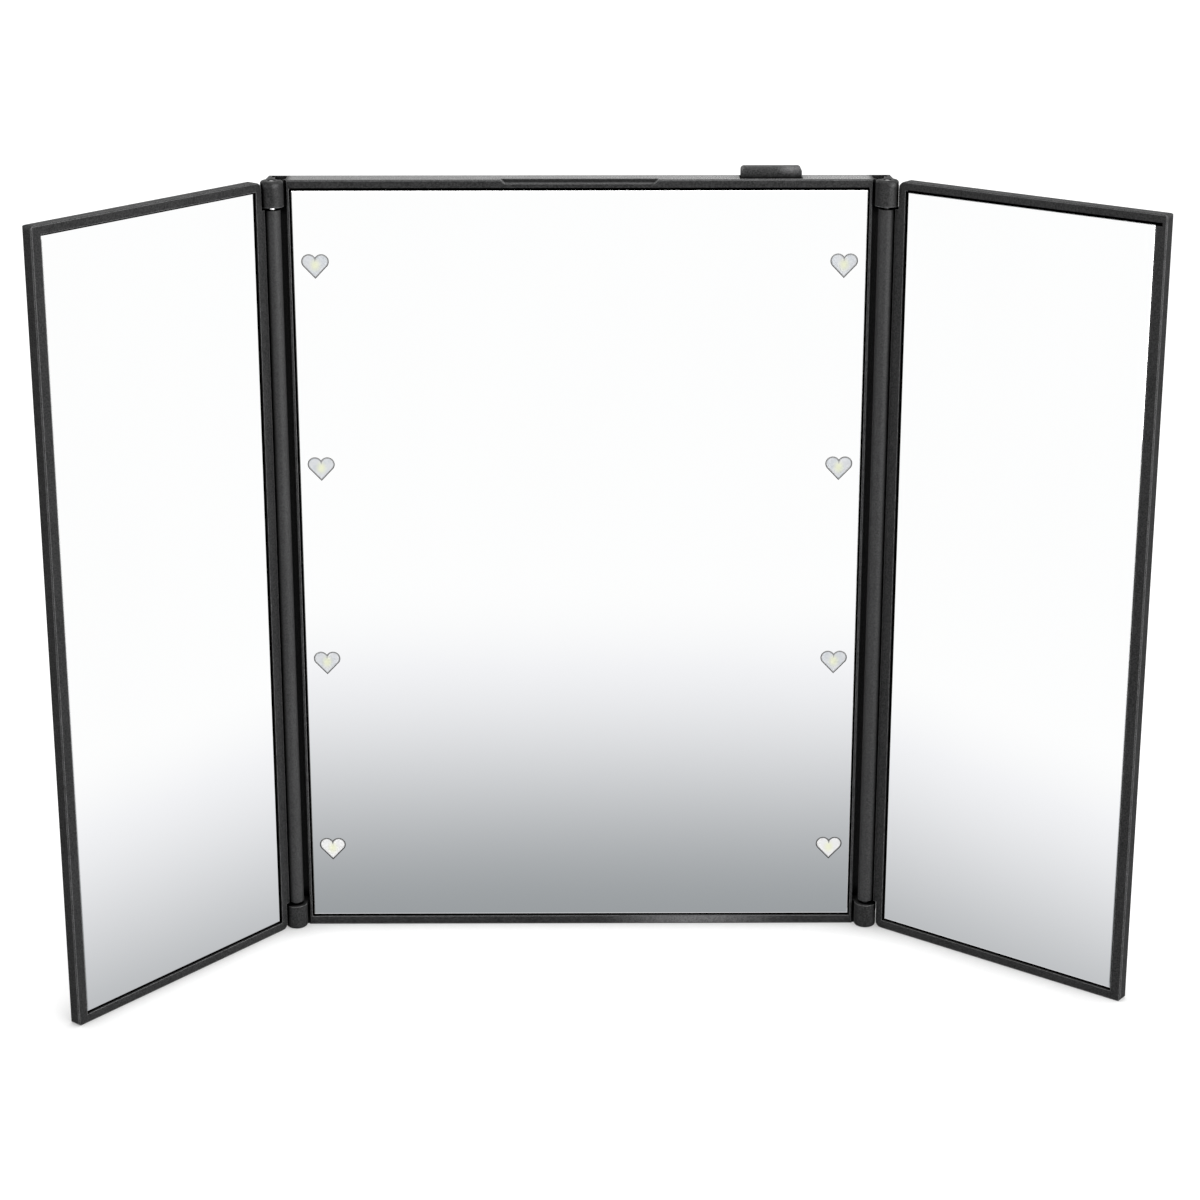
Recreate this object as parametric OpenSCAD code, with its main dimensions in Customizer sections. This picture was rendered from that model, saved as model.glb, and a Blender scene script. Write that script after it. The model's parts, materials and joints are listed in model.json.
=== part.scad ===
// Tri-fold lighted makeup mirror, standing on its base with both wings part open.
// Origin: middle of the centre panel's base. X to the user's right, Y away from the user, Z up.
// Depths, named ..._d, are measured backwards from the centre panel's front face.

/* [Centre panel] */
// Height of the three panels
panel_h = 180; // [160:1:220]
// Width of the centre bezel, over its side faces
bezel_w = 130; // [120:0.2:160]
// Width of the top and bottom borders
border = 2.1; // [2:0.1:3.5]
// Width of the centre bezel's side walls
side_wall = 0.7; // [0.6:0.05:1.5]
// How far each glass lies below the face of its frame
glass_recess = 0.4; // [0.2:0.1:0.8]
// Thickness of the centre glass
glass_t = 1.8; // [1.5:0.1:3]
// Gap all round each glass
glass_gap = 0.4; // [0.2:0.05:0.5]
// Bevel ground on the front edges of each glass
glass_bevel = 0.2; // [0.1:0.05:0.4]
// Thickness of the adhesive sheets behind the glasses
tape_t = 0.2; // [0.1:0.05:0.4]
// Thickness of the frame's floor behind the centre glass
floor_t = 0.8; // [0.6:0.1:1.5]
// Depth of the space for the boards and wires
cavity_h = 2; // [2:0.1:4]
// Thickness of the rear cover
cover_t = 1.2; // [1:0.1:2]
// Width of the frame's rim above and below the rear cover
rim = 1.4; // [1.2:0.1:2]
// Bevel along the front edges of the frames
edge_bevel = 0.25; // [0.1:0.05:0.4]
// Rounding of the back edges of the frames
back_round = 0.8; // [0.4:0.1:1]

/* [Wings] */
// Thickness of the wing glasses
wing_glass_t = 1.6; // [1.2:0.1:3]
// Thickness of each wing's back
wing_floor_t = 1; // [0.8:0.1:2]
// Width of the wing's frame from the hinge axis to the glass opening
hinge_border = 4.6; // [4.4:0.1:8]
// Width of the wing's frame along its outer side
outer_border = 2.5; // [2:0.1:4]
// Radius of the wing's corners beside the hinge
wing_corner = 2; // [1:0.1:3]
// Gap between the outer ends of the folded wings
meeting_gap = 0.2; // [0.1:0.1:2]
// Angle that the left wing stands forward from flat
left_angle = 50.6; // [0:0.1:100]
// Angle that the right wing stands forward from flat
right_angle = 38; // [0:0.1:100]

/* [Hinges] */
// Radius of the barrel along each wing
barrel_r = 1.75; // [1.5:0.05:2]
// Width of the channel between the bezel and the barrel
channel = 1.25; // [0.9:0.05:2]
// Radius of the knuckles on the centre frame
knuckle_r = 2.55; // [2.3:0.05:2.6]
// Height of the knuckles
knuckle_h = 5.8; // [4:0.1:8]
// Gap between a knuckle and the barrel
end_gap = 0.65; // [0.3:0.05:1]
// How far the hinge axis lies in front of the bezel's face
axis_lead = 0.3; // [0.2:0.05:0.6]
// Gap between a knuckle and the notch in the wing
notch_gap = 0.2; // [0.2:0.05:1]
// Radius of the hinge pins
pin_r = 0.6; // [0.4:0.05:0.8]
// Length of the hinge pins
pin_len = 13; // [10:0.5:18]
// Radial gap of a pin in its barrel
pin_gap = 0.05; // [0.02:0.01:0.1]
// Rounding of the knuckles' end edges
knuckle_round = 0.6; // [0.3:0.1:1.2]
// How far the frame's flange reaches outward behind the hinge axis
flange_out = 3.1; // [1.5:0.1:4]
// Bevel across the flange's corners, seen from the front
flange_corner = 2; // [0.5:0.1:2.4]

/* [Lights] */
// Radius of a heart's two lobes
heart_lobe = 1.55; // [1.4:0.05:2.2]
// Distance of each lobe's centre from the heart's middle line
heart_spread = 1.4; // [1:0.05:1.6]
// Half of the angle at a heart's point
heart_angle = 43.3; // [38:0.1:50]
// Distance of the hearts' middle lines from the edge of the glass
heart_inset = 4.9; // [4:0.1:8]
// Distance from one heart to the next
heart_pitch = 47; // [36:0.5:52]
// Gap round a heart window in the glass
heart_gap = 0.12; // [0.06:0.02:0.2]
// Width of a light's package
led_w = 2.8; // [2:0.1:3.2]
// Height of a light's package
led_h = 3.5; // [2:0.1:4]
// Width of the light boards
board_w = 6; // [5:0.1:8]
// Thickness of the light boards
board_t = 0.8; // [0.6:0.1:1]

/* [Power button] */
// Distance of the button's middle from the bezel's side
button_inset = 22.5; // [20:0.5:50]
// Width of the button
button_w = 13.4; // [12:0.2:16]
// Height that the button stands above the panel
button_rise = 2.4; // [1.8:0.1:3]
// Distance of the button from the panel's front face
button_lip = 0.9; // [0.8:0.05:1.2]
// Depth of the recess that the button sinks into
button_sink = 1.5; // [1.3:0.1:1.7]
// Travel of the button
button_travel = 0.8; // [0.5:0.1:0.9]
// Gap beside the button
button_side_gap = 0.3; // [0.2:0.05:0.4]

/* [Finger notch] */
// Width of the notch in the top front edge
finger_w = 35; // [20:1:50]
// Depth of the notch downwards
finger_h = 0.9; // [0.5:0.1:1.2]
// Depth of the notch backwards
finger_back = 1.2; // [0.8:0.1:1.6]

/* [Battery bay] */
// Radius of a battery cell
cell_r = 5.25; // [5:0.05:5.5]
// Length of a battery cell with its cap
cell_len = 44.5; // [43:0.5:46]
// Gap between two cells
cell_gap = 0.4; // [0.2:0.1:1]
// Length of a fitted contact spring
spring_len = 4.2; // [3.5:0.1:6]
// Height of the battery housing's lower end above the base
bay_z = 22; // [12:1:40]
// Thickness of the battery housing's end walls
end_wall = 1.6; // [1.4:0.1:2.4]
// Thickness of the battery door
door_t = 1.2; // [1:0.1:2]
// Width of the housing's lip over each edge of the door
door_lip = 1.6; // [1.4:0.1:3]
// Running gap round the battery door
door_gap = 0.15; // [0.1:0.05:0.3]

/* [Small parts] */
// Radius of a wire over its insulation
wire_r = 0.4; // [0.3:0.05:0.42]
// Radius of a screw's head
head_r = 1.6; // [1.4:0.1:1.8]
// Radius of a screw's shank
shank_r = 0.8; // [0.6:0.05:0.9]

/* [Hidden] */

$fn = 48;
over = 0.5;         // how far a cutter runs past the face it opens
seat_gap = 0.02;    // radial gap of a part pressed into its seat
slack = 0.1;        // gap of a part that is fitted and held
shell_colour = [0.16, 0.16, 0.17];
mirror_colour = [0.82, 0.84, 0.86];
board_colour = [0.93, 0.93, 0.9];
tape_colour = [0.1, 0.1, 0.1];
steel_colour = [0.75, 0.76, 0.78];
window_colour = [0.8, 0.84, 0.88];
red_wire = [0.7, 0.08, 0.06];
black_wire = [0.08, 0.08, 0.08];

// Depths in the centre panel
floor_d = glass_recess + glass_t + tape_t;
cavity_d = floor_d + floor_t;
cover_d = cavity_d + cavity_h;
body_t = cover_d + cover_t;
front_y = -body_t / 2;

// Centre panel outline
bezel_half = bezel_w / 2;
opening_half = bezel_half - side_wall;
glass_half = opening_half - glass_gap;
cover_seat = 0.2;
cover_half = opening_half + cover_seat;
cover_ledge = 1.3;
cover_corner = 1;
cavity_half = cover_half - cover_ledge;
mid_z = panel_h / 2;
cavity_step = 0.3;
cavity_z0 = border + cavity_step;
cavity_z1 = panel_h - cavity_z0;

// Hinges and wings, with u running outward from the hinge axis
hinge_x = bezel_half + channel + barrel_r;
hinge_y = front_y - axis_lead;
knuckle_inner = bezel_half - side_wall / 2;
flange_half = hinge_x + flange_out;
barrel_z = knuckle_h + end_gap;
notch_u = knuckle_r + notch_gap;
web_u = 0.6;
wing_u = hinge_x - meeting_gap / 2;
wing_t = glass_recess + wing_glass_t + tape_t + wing_floor_t;
wing_glass_lo = hinge_border + glass_gap;
wing_glass_hi = wing_u - outer_border - glass_gap;
flange_gap = 0.4;
flange_d = wing_t + flange_gap;
knuckle_back_d = 0.6;
knuckle_bevel = max(0, flange_corner - flange_out + knuckle_r);
outer_corner = 0.9;
groove_w = 0.35;
groove_h = 0.25;
pin_sink = 0.15;
pin_lead = 0.35;
pin_lead_r = pin_r + pin_lead;
bore_extra = 0.5;
pin_end_round = 0.15;
barrel_edge = 0.25;

// Moulded pocket beside and behind each pin's boss
pocket_r = 1.3;
pocket_x = bezel_half + pocket_r;
pocket_front_d = 0.5;
pocket_rim = 0.6;
pocket_back_d = 3.5;
pocket_deep = 3;

// Lights
heart_x = glass_half - heart_inset;
heart_count = 4;
heart_tip = (heart_lobe + heart_spread * cos(heart_angle)) / sin(heart_angle);
heart_shift = (heart_tip - heart_lobe) / 2;
heart_bite = 0.01;  // how far the straight sides start inside the lobes
heart_dip = 0.4;
led_gap = 0.2;
led_top_gap = 0.05;
cup_r = 1.1;
cup_h = 0.15;
board_margin = 4;
board_hole_r = 0.8;
post_r = board_hole_r - slack;
post_rise = 0.4;
post_h = board_t + post_rise;
pad_h = 0.25;
pad_w = 1.6;
resistor_w = 1.6;
resistor_h = 3.2;
resistor_t = 0.5;
resistor_above = 2;
tape_inset = 1;
tape_z0 = border + glass_gap + tape_inset;
tape_hole_r = 2.3;

// Power button, its stem and its switch
button_x = bezel_half - button_inset;
button_d0 = button_lip;
button_d1 = cover_d;
button_fit = 0.15;
button_stop = 0.2;
recess_z = panel_h - button_sink;
head_z = recess_z + button_travel + button_stop;
button_corner = 0.9;
button_edge = 0.7;
switch_board_t = 0.6;
stem_w = 6;
stem_gap = 0.2;
stem_d0 = cavity_d + switch_board_t + stem_gap;
stem_d1 = cover_d - stem_gap;
hook_w = 1;
hook_h = 0.8;
switch_board_w = 10;
switch_board_h = 7;
switch_post_x = switch_board_w / 2 - 1;
switch_w = 6;
switch_h = 4.4;
switch_t = cavity_h - switch_board_t - slack;
switch_drop = 4;
switch_top = cavity_z1 - switch_drop;
plunger_w = 2.4;
plunger_t = 0.7;
plunger_up = button_travel + button_stop + slack;
plunger_in = 1.5;
plunger_d = cavity_d + switch_board_t + switch_t / 2;
stem_z = switch_top + plunger_up;
switch_mid_z = switch_top - switch_h / 2;

// Battery housing
cells = 4;
cell_pitch = 2 * cell_r + cell_gap;
bay_floor_t = 0.6;
bay_floor_d = cavity_d + slack;
cradle_gap = 0.05;
cell_d = bay_floor_d + bay_floor_t + cradle_gap + cell_r;
cell_top_gap = 0.25;
door_d = cell_d + cell_r + cell_top_gap;
housing_d = door_d + door_t;
bay_side_gap = 0.4;
bay_half = cells * cell_pitch / 2 + bay_side_gap;
plate_t = 0.4;
contact_gap = 0.1;
bay_len = cell_len + spring_len + 2 * plate_t + contact_gap;
bay_z0 = bay_z + end_wall;
bay_z1 = bay_z0 + bay_len;
housing_z1 = bay_z1 + end_wall;
tongue_w = 0.9;
tongue_t = 0.5;
door_shelf = 0.6;
door_half = bay_half + door_shelf;
tongue_half = door_half + tongue_w;
housing_half = door_half + door_gap + door_lip;
housing_corner = 2;
housing_round = 1;
cradle_w = 3;
cradle_h = 2.6;
cradle_d = bay_floor_d + bay_floor_t + cradle_h;
cradle_share = 0.28;
cap_r = 1.9;
cap_h = 0.9;
cap_round = 0.3;
can_round = 0.6;
plate_w = 7.6;
spring_wire_r = 0.25;
spring_base_r = 3.2;
spring_tip_r = 1.9;
spring_turns = 3;
spring_rings = 8;
spring_sides = 6;
tab_w = 2;
tab_d = bay_floor_d + bay_floor_t + slack;
tab_rise = 1.5;
grip_w = 14;
grip_h = 0.9;
grip_count = 6;
grip_pitch = 1.9;
grip_deep = 0.35;
grip_below = 5;

// Wires, lying in a front and a back layer of the cavity
wire_gap = 0.06;
wire_space = 0.2;
wire_front_d = cavity_d + wire_r + wire_gap;
wire_back_d = cover_d - wire_r - wire_gap;
wire_top_z = switch_mid_z - switch_board_h / 2 + pad_w / 2 + slack;
bridge_drop = 4;
bridge_z = heart_z(heart_count - 1) - led_h / 2 - bridge_drop;
return_rise = 8;
return_z = housing_z1 + return_rise;
tab_wire_z = housing_z1 + tab_rise + wire_r + seat_gap;
board_edge = heart_x - board_w / 2 + pad_w;

// Cover screws
head_h = 0.9;
screw_len = 3.2;
recess_w = 0.4;
recess_arm = 1;
screw_boss_r = 2;
screw_pad_r = 2.5;
screw_pad_h = 0.6;
screw_skin = 0.3;
head_seat = 0.2;
head_d = cover_d + head_seat;
head_gap = 0.2;
screw_inset = 12;
screw_x = glass_half - screw_inset;
screw_beside = 10;
screw_x_mid = housing_half + screw_beside;
screw_above = 15;
screw_z_mid = housing_z1 + screw_above;
screw_z_in = 6;
screw_z = cavity_z0 + screw_z_in;
screw_spots = [
    [-screw_x, screw_z], [screw_x, screw_z],
    [-screw_x_mid, screw_z_mid], [screw_x_mid, screw_z_mid],
    [-screw_x, panel_h - screw_z], [screw_x, panel_h - screw_z]
];

function heart_z(i) = mid_z + (i - (heart_count - 1) / 2) * heart_pitch;
function cell_x(i) = (i - (cells - 1) / 2) * cell_pitch;

// Box between two values on each axis, with its depths counted from the front face
module block(x, d, z) {
    translate([x[0], front_y + d[0], z[0]])
        cube([x[1] - x[0], d[1] - d[0], z[1] - z[0]]);
}

// Rectangle with a round or a bevel at each corner, from the low corner anticlockwise
module cornered_rect(lo, hi, rounds = [0, 0, 0, 0], bevels = [0, 0, 0, 0]) {
    corners = [lo, [hi.x, lo.y], hi, [lo.x, hi.y]];
    difference() {
        translate(lo)
            square(hi - lo);
        for (i = [0:3])
            translate(corners[i])
                rotate(90 * i)
                    corner_waste(rounds[i], bevels[i]);
    }
}

// What a round or a bevel takes off a square corner at the origin
module corner_waste(round_r, bevel) {
    if (round_r > 0)
        difference() {
            translate([-over, -over])
                square(round_r + over);
            translate([round_r, round_r])
                circle(round_r);
        }
    if (bevel > 0)
        polygon([[-over, bevel + over], [-over, -over], [bevel + over, -over]]);
}

// Panel whose outline has round or cut corners, whose front edges are bevelled and back edges rounded
module panel_solid(x, d, z, corners = [0, 0, 0, 0], cuts = [0, 0, 0, 0], bevel = 0, back = 0) {
    y = [front_y + d[0], front_y + d[1]];
    intersection() {
        translate([0, y[1], 0])
            rotate([90, 0, 0])
                linear_extrude(y[1] - y[0])
                    cornered_rect([x[0], z[0]], [x[1], z[1]], corners, cuts);
        translate([0, 0, z[0] - over])
            linear_extrude(z[1] - z[0] + 2 * over)
                cornered_rect([x[0], y[0]], [x[1], y[1]], [0, 0, back, back], [bevel, bevel, 0, 0]);
        translate([x[0] - over, 0, 0])
            rotate([90, 0, 90])
                linear_extrude(x[1] - x[0] + 2 * over)
                    cornered_rect([y[0], z[0]], [y[1], z[1]], [0, back, back, 0], [bevel, 0, 0, bevel]);
    }
}

// Round bar along the depth, from one depth to another
module depth_bar(x, z, d, r) {
    translate([x, front_y + d[1], z])
        rotate([90, 0, 0])
            cylinder(h = d[1] - d[0], r = r);
}

// Copies at the top end and, mirrored, at the bottom end of the panel
module both_ends() {
    children();
    translate([0, 0, panel_h])
        mirror([0, 0, 1])
            children();
}

// Copies on the right side and, mirrored, on the left side
module both_sides() {
    children();
    mirror([1, 0, 0])
        children();
}

// One side of the panel: 1 is right, -1 is left
module on_side(side) {
    mirror([side < 0 ? 1 : 0, 0, 0])
        children();
}

// Heart centred on its own height, grown all round by a gap
module heart_outline(grow = 0) {
    lobe = heart_lobe + grow;
    side_r = lobe - heart_bite;
    tip = (side_r + heart_spread * cos(heart_angle)) / sin(heart_angle);
    touch = [heart_spread + side_r * cos(heart_angle), -side_r * sin(heart_angle)];
    translate([0, heart_shift]) {
        for (side = [-1, 1])
            translate([side * heart_spread, 0])
                circle(lobe);
        polygon([
            [0, -tip], touch, [heart_spread, 0], [0, heart_dip],
            [-heart_spread, 0], [-touch.x, touch.y]
        ]);
    }
}

// Heart-shaped bar through the glass, with its point down
module heart_bar(x, z, d, grow = 0) {
    translate([x, front_y + d[1], z])
        rotate([90, 0, 0])
            linear_extrude(d[1] - d[0])
                heart_outline(grow);
}

// Knuckle that takes the pin, in front of its block on the frame
module knuckle() {
    translate([hinge_x, hinge_y, panel_h - knuckle_h])
        rotate_extrude()
            cornered_rect([0, 0], [knuckle_r, knuckle_h], [0, 0, knuckle_round, 0]);
    translate([0, front_y + flange_d + over, 0])
        rotate([90, 0, 0])
            linear_extrude(flange_d + over - knuckle_back_d)
                cornered_rect(
                    [knuckle_inner, panel_h - knuckle_h], [hinge_x + knuckle_r, panel_h],
                    bevels = [0, 0, knuckle_bevel, 0]
                );
}

// Pin hole with a wider mouth
module pin_hole() {
    translate([hinge_x, hinge_y, panel_h - knuckle_h - over])
        cylinder(h = knuckle_h + 2 * over, r = pin_r + seat_gap);
    translate([hinge_x, hinge_y, panel_h - pin_sink])
        cylinder(h = pin_sink + over, r = pin_lead_r);
}

// Round-nosed moulding pocket in the end face, wider behind the pin's boss
module corner_pocket() {
    z0 = panel_h - pocket_deep;
    nose_y = front_y + pocket_front_d + pocket_r;
    translate([pocket_x, nose_y, z0])
        cylinder(h = pocket_deep + over, r = pocket_r);
    block(
        [pocket_x - pocket_r, pocket_x + pocket_r],
        [pocket_front_d + pocket_r, body_t - pocket_rim], [z0, panel_h + over]
    );
    block(
        [pocket_x, flange_half - flange_corner - pocket_rim],
        [pocket_back_d, body_t - pocket_rim], [z0, panel_h + over]
    );
}

// Notch that lets a finger reach the folded wings
module finger_notch() {
    ramp = finger_h;
    half = finger_w / 2;
    low = half - ramp;
    translate([0, front_y + finger_back, 0])
        rotate([90, 0, 0])
            linear_extrude(finger_back + over)
                polygon([
                    [-low, panel_h - finger_h], [low, panel_h - finger_h],
                    [half + over, panel_h + over], [-half - over, panel_h + over]
                ]);
}

// Recess for the button's head, and the slot below it for the stem
module button_recess() {
    half = button_w / 2 + button_side_gap;
    block(
        [button_x - half, button_x + half],
        [button_d0 - button_fit, button_d1 + button_fit], [recess_z, panel_h + over]
    );
    slot_half = stem_w / 2 + stem_gap;
    block(
        [button_x - slot_half, button_x + slot_half],
        [stem_d0 - button_fit, cover_d + over], [cavity_z1 - over, recess_z + over]
    );
}

// Locating posts on the floor: two for each light board and two for the switch board
module locating_posts() {
    both_sides()
        for (i = [0, heart_count - 2])
            depth_bar(heart_x, heart_z(i) + heart_pitch / 2, [cavity_d - over, cavity_d + post_h], post_r);
    for (side = [-1, 1])
        depth_bar(
            button_x + side * switch_post_x, switch_mid_z,
            [cavity_d - over, cavity_d + switch_board_t + post_rise], post_r
        );
}

// Moulded centre frame with bezel, floor, hinge knuckles and screw bosses
module centre_frame() {
    color(shell_colour)
        difference() {
            union() {
                difference() {
                    centre_frame_outside();
                    block(
                        [-opening_half, opening_half], [-over, floor_d], [border, panel_h - border]
                    );
                    block(
                        [-cavity_half, cavity_half], [cavity_d, body_t + over], [cavity_z0, cavity_z1]
                    );
                    block(
                        [-cover_half - slack, cover_half + slack], [cover_d, body_t + over],
                        [rim, panel_h - rim]
                    );
                }
                locating_posts();
                for (spot = screw_spots)
                    depth_bar(
                        spot.x, spot.y,
                        [cavity_d - floor_t / 2, cover_d - screw_pad_h - slack], screw_boss_r
                    );
            }
            for (spot = screw_spots)
                depth_bar(spot.x, spot.y, [floor_d + screw_skin, cover_d], shank_r + seat_gap);
            for (i = [0:heart_count - 1])
                both_sides()
                    block(
                        [heart_x - led_w / 2 - led_gap, heart_x + led_w / 2 + led_gap],
                        [floor_d - over, cavity_d + over],
                        [heart_z(i) - led_h / 2 - led_gap, heart_z(i) + led_h / 2 + led_gap]
                    );
            both_ends()
                both_sides() {
                    pin_hole();
                    corner_pocket();
                }
            button_recess();
            finger_notch();
        }
}

// Outside of the centre frame: the bezel, the wider flange behind it and four knuckles
module centre_frame_outside() {
    panel_solid(
        [-bezel_half, bezel_half], [0, body_t], [0, panel_h],
        bevel = edge_bevel, back = back_round
    );
    panel_solid(
        [-flange_half, flange_half], [flange_d, body_t], [0, panel_h],
        cuts = flange_corner * [1, 1, 1, 1], bevel = edge_bevel, back = back_round
    );
    both_ends()
        both_sides()
            knuckle();
}

// Glass with its eight heart-shaped windows left open
module centre_mirror() {
    color(mirror_colour)
        difference() {
            panel_solid(
                [-glass_half, glass_half], [glass_recess, glass_recess + glass_t],
                [border + glass_gap, panel_h - border - glass_gap], bevel = glass_bevel
            );
            for (i = [0:heart_count - 1])
                both_sides()
                    heart_bar(
                        heart_x, heart_z(i), [glass_recess - over, glass_recess + glass_t + over], heart_gap
                    );
        }
}

// Adhesive sheet that holds the centre glass and the heart windows
module centre_tape() {
    half = glass_half - tape_inset;
    color(tape_colour)
        difference() {
            block(
                [-half, half], [floor_d - tape_t, floor_d],
                [tape_z0, panel_h - tape_z0]
            );
            for (i = [0:heart_count - 1])
                both_sides()
                    depth_bar(heart_x, heart_z(i), [floor_d - tape_t - over, floor_d + over], tape_hole_r);
        }
}

// Frosted heart that a light shines through
module heart_window(side, i) {
    color(window_colour)
        on_side(side)
            heart_bar(heart_x, heart_z(i), [glass_recess, glass_recess + glass_t]);
}

// Light package with a round cup of phosphor in its face
module led(side, i) {
    face_d = floor_d + led_top_gap;
    color("ivory")
        on_side(side)
            difference() {
                block(
                    [heart_x - led_w / 2, heart_x + led_w / 2], [face_d, cavity_d],
                    [heart_z(i) - led_h / 2, heart_z(i) + led_h / 2]
                );
                depth_bar(heart_x, heart_z(i), [face_d - over, face_d + cup_h], cup_r);
            }
}

// Long board that carries four lights, with a solder pad for each wire
module led_board(side) {
    color(board_colour)
        on_side(side)
            difference() {
                union() {
                    block(
                        [heart_x - board_w / 2, heart_x + board_w / 2], [cavity_d, cavity_d + board_t],
                        [heart_z(0) - board_margin, heart_z(heart_count - 1) + board_margin]
                    );
                    for (z = [return_z, bridge_z])
                        solder_pad(heart_x - board_w / 2 + pad_w, z, cavity_d + board_t);
                }
                for (i = [0, heart_count - 2])
                    depth_bar(
                        heart_x, heart_z(i) + heart_pitch / 2,
                        [cavity_d - over, cavity_d + board_t + over], board_hole_r
                    );
            }
}

// Raised pad that a wire's end is soldered to
module solder_pad(x, z, d) {
    block([x - pad_w / 2, x + pad_w / 2], [d - slack, d + pad_h], [z - pad_w / 2, z + pad_w / 2]);
}

// Chip resistor beside each board's lower light
module board_resistors() {
    z = heart_z(0) + led_h + resistor_above;
    color([0.12, 0.12, 0.13])
        both_sides()
            block(
                [heart_x - resistor_w / 2, heart_x + resistor_w / 2],
                [cavity_d + board_t, cavity_d + board_t + resistor_t], [z, z + resistor_h]
            );
}

// Small board behind the button
module switch_board() {
    half = switch_board_w / 2;
    color(board_colour)
        difference() {
            union() {
                block(
                    [button_x - half, button_x + half], [cavity_d, cavity_d + switch_board_t],
                    [switch_mid_z - switch_board_h / 2, switch_mid_z + switch_board_h / 2]
                );
                for (side = [-1, 1])
                    solder_pad(button_x + side * switch_post_x, wire_top_z, cavity_d + switch_board_t);
            }
            for (side = [-1, 1])
                depth_bar(
                    button_x + side * switch_post_x, switch_mid_z,
                    [cavity_d - over, cavity_d + switch_board_t + over], board_hole_r
                );
        }
}

// Case of the push switch, open at the top for its plunger
module switch_body() {
    d0 = cavity_d + switch_board_t;
    color([0.15, 0.15, 0.16])
        difference() {
            block(
                [button_x - switch_w / 2, button_x + switch_w / 2], [d0, d0 + switch_t],
                [switch_top - switch_h, switch_top]
            );
            block(
                [button_x - plunger_w / 2 - slack, button_x + plunger_w / 2 + slack],
                [plunger_d - plunger_t / 2 - slack, plunger_d + plunger_t / 2 + slack],
                [switch_top - plunger_in - button_travel - button_stop, switch_top + over]
            );
        }
}

// Plunger that the button's stem pushes down
module switch_plunger() {
    color("white")
        block(
            [button_x - plunger_w / 2, button_x + plunger_w / 2],
            [plunger_d - plunger_t / 2, plunger_d + plunger_t / 2],
            [switch_top - plunger_in, stem_z]
        );
}

// Push button with its stem and two snap hooks
module power_button() {
    half = button_w / 2;
    y0 = front_y + button_d0;
    y1 = front_y + button_d1;
    z1 = panel_h + button_rise;
    color(shell_colour) {
        intersection() {
            translate([0, y1, 0])
                rotate([90, 0, 0])
                    linear_extrude(y1 - y0)
                        cornered_rect(
                            [button_x - half, head_z], [button_x + half, z1],
                            [0, 0, button_corner, button_corner]
                        );
            translate([button_x - half - over, 0, 0])
                rotate([90, 0, 90])
                    linear_extrude(button_w + 2 * over)
                        cornered_rect([y0, head_z], [y1, z1], [0, 0, button_edge, button_edge]);
        }
        block(
            [button_x - stem_w / 2, button_x + stem_w / 2], [stem_d0, stem_d1], [stem_z, head_z + over]
        );
        hook_half = stem_w / 2 + hook_w;
        block(
            [button_x - hook_half, button_x + hook_half], [stem_d0, stem_d1],
            [cavity_z1 - slack - hook_h, cavity_z1 - slack]
        );
    }
}

// Cover over the back, with the open battery housing moulded on it
module rear_cover() {
    color(shell_colour)
        difference() {
            union() {
                panel_solid(
                    [-cover_half, cover_half], [cover_d, body_t], [rim + slack, panel_h - rim - slack],
                    corners = cover_corner * [1, 1, 1, 1]
                );
                panel_solid(
                    [-housing_half, housing_half], [bay_floor_d, housing_d], [bay_z, housing_z1],
                    corners = housing_corner * [1, 1, 1, 1], back = housing_round
                );
                for (spot = screw_spots)
                    depth_bar(spot.x, spot.y, [cover_d - screw_pad_h, cover_d + over], screw_pad_r);
            }
            bay_space();
            door_track();
            for (i = [0, cells - 1])
                block(
                    [cell_x(i) - tab_w / 2 - slack, cell_x(i) + tab_w / 2 + slack],
                    [tab_d - slack, tab_d + plate_t + slack], [bay_z1 - over, housing_z1 + over]
                );
            for (spot = screw_spots) {
                depth_bar(spot.x, spot.y, [cavity_d, body_t], shank_r + head_gap);
                depth_bar(spot.x, spot.y, [head_d, body_t + over], head_r + head_gap);
            }
        }
}

// Room for the cells, less two cradles that hold them apart
module bay_space() {
    difference() {
        block(
            [-bay_half, bay_half], [bay_floor_d + bay_floor_t, housing_d + over], [bay_z0, bay_z1]
        );
        difference() {
            for (share = [cradle_share, 1 - cradle_share])
                block(
                    [-bay_half - over, bay_half + over], [bay_floor_d, cradle_d],
                    [bay_z0 + share * bay_len - cradle_w / 2, bay_z0 + share * bay_len + cradle_w / 2]
                );
            for (i = [0:cells - 1])
                translate([cell_x(i), front_y + cell_d, bay_z])
                    cylinder(h = bay_len + 2 * end_wall, r = cell_r + cradle_gap);
        }
    }
}

// Way that the door slides along, open at the top end
module door_track() {
    block(
        [-tongue_half - door_gap, tongue_half + door_gap],
        [door_d - door_gap, door_d + tongue_t + door_gap], [bay_z0, housing_z1 + over]
    );
    block(
        [-door_half - door_gap, door_half + door_gap],
        [door_d - door_gap, housing_d + over], [bay_z0, housing_z1 + over]
    );
}

// Sliding door with a tongue along each side and grooves for the thumb
module battery_door() {
    z0 = bay_z0 + door_gap;
    grip_z = housing_z1 - grip_below;
    color(shell_colour)
        difference() {
            union() {
                panel_solid(
                    [-door_half, door_half], [door_d, housing_d], [z0, housing_z1], back = door_gap
                );
                block([-tongue_half, tongue_half], [door_d, door_d + tongue_t], [z0, housing_z1]);
            }
            for (i = [0:grip_count - 1])
                block(
                    [-grip_w / 2, grip_w / 2], [housing_d - grip_deep, housing_d + over],
                    [grip_z - i * grip_pitch - grip_h, grip_z - i * grip_pitch]
                );
        }
}

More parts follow.
